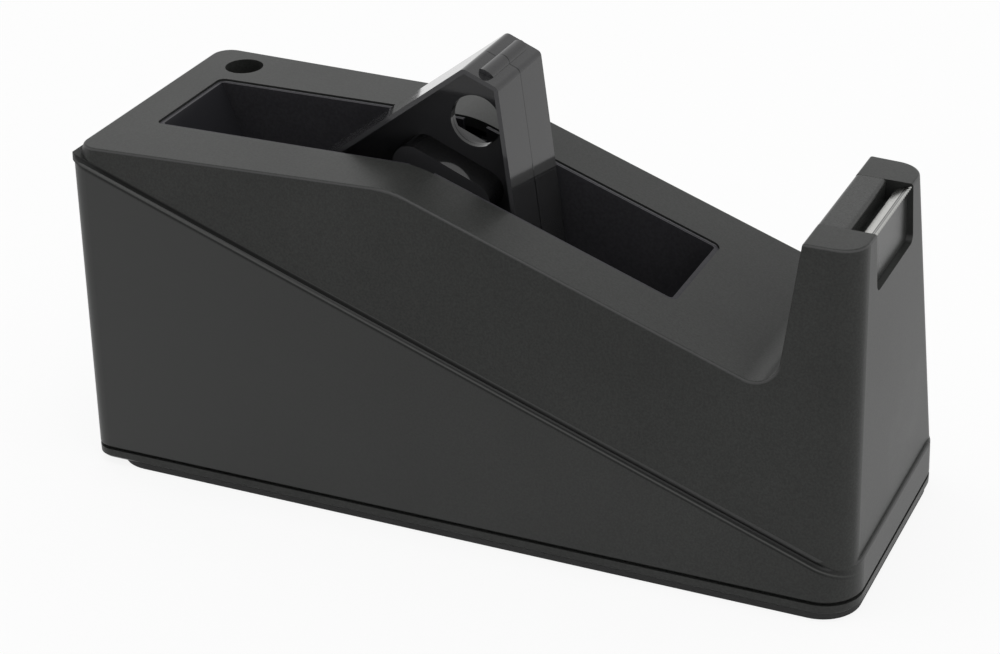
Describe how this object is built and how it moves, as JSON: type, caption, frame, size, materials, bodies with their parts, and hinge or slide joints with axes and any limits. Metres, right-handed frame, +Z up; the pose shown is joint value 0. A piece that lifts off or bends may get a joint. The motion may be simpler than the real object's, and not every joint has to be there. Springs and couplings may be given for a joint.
{
  "type": "desk tape dispenser",
  "caption": "Weighted black desk tape dispenser with a deep tape well, lift-out three-sided hub for large rolls, serrated cutter tower and a pen hole.",
  "frame": {"origin": "on the desk, under the middle of the foot: centre of the bounding box at its bottom", "axes": "+X along the body towards the cutter tower, +Y across it to the pen hole's side, +Z up"},
  "size_m": [0.1998, 0.073, 0.1111],
  "materials": {
    "shell_plastic": "fine-textured black",
    "well_plastic": "smooth black",
    "block_plastic": "smooth satin black",
    "blade_steel": "bright rolled strip",
    "base_plastic": "fine-textured black",
    "pad_rubber": "matte black",
    "ballast_steel": "plain grey primer",
    "ballast_iron": "as cast",
    "screw_steel": "zinc plated",
    "axle_steel": "ground",
    "hub_plastic": "polished black"
  },
  "bodies": {
    "dispenser": {"body_shell": "shell_plastic", "tape_well": "well_plastic", "cutter_block": "block_plastic", "cutter_blade": "blade_steel", "base_plate": "base_plastic", "nonslip_pad": "pad_rubber", "ballast_plate": "ballast_steel", "ballast_block": "ballast_iron", "base_screws": "screw_steel", "well_screws": "screw_steel"},
    "axle_pin": {"axle": "axle_steel"},
    "hub": {"hub_near_half": "hub_plastic", "hub_far_half": "hub_plastic"}
  },
  "joints": [
    {"name": "axle_lift", "type": "slide", "parent": "dispenser", "child": "axle_pin", "axis": [0, 0, 1], "range_m": [0, 0.06]},
    {"name": "hub_spin", "type": "hinge", "parent": "axle_pin", "child": "hub", "pos_m": [-0.0138, 0, 0.0756], "axis": [0, 1, 0], "continuous": true}
  ]
}
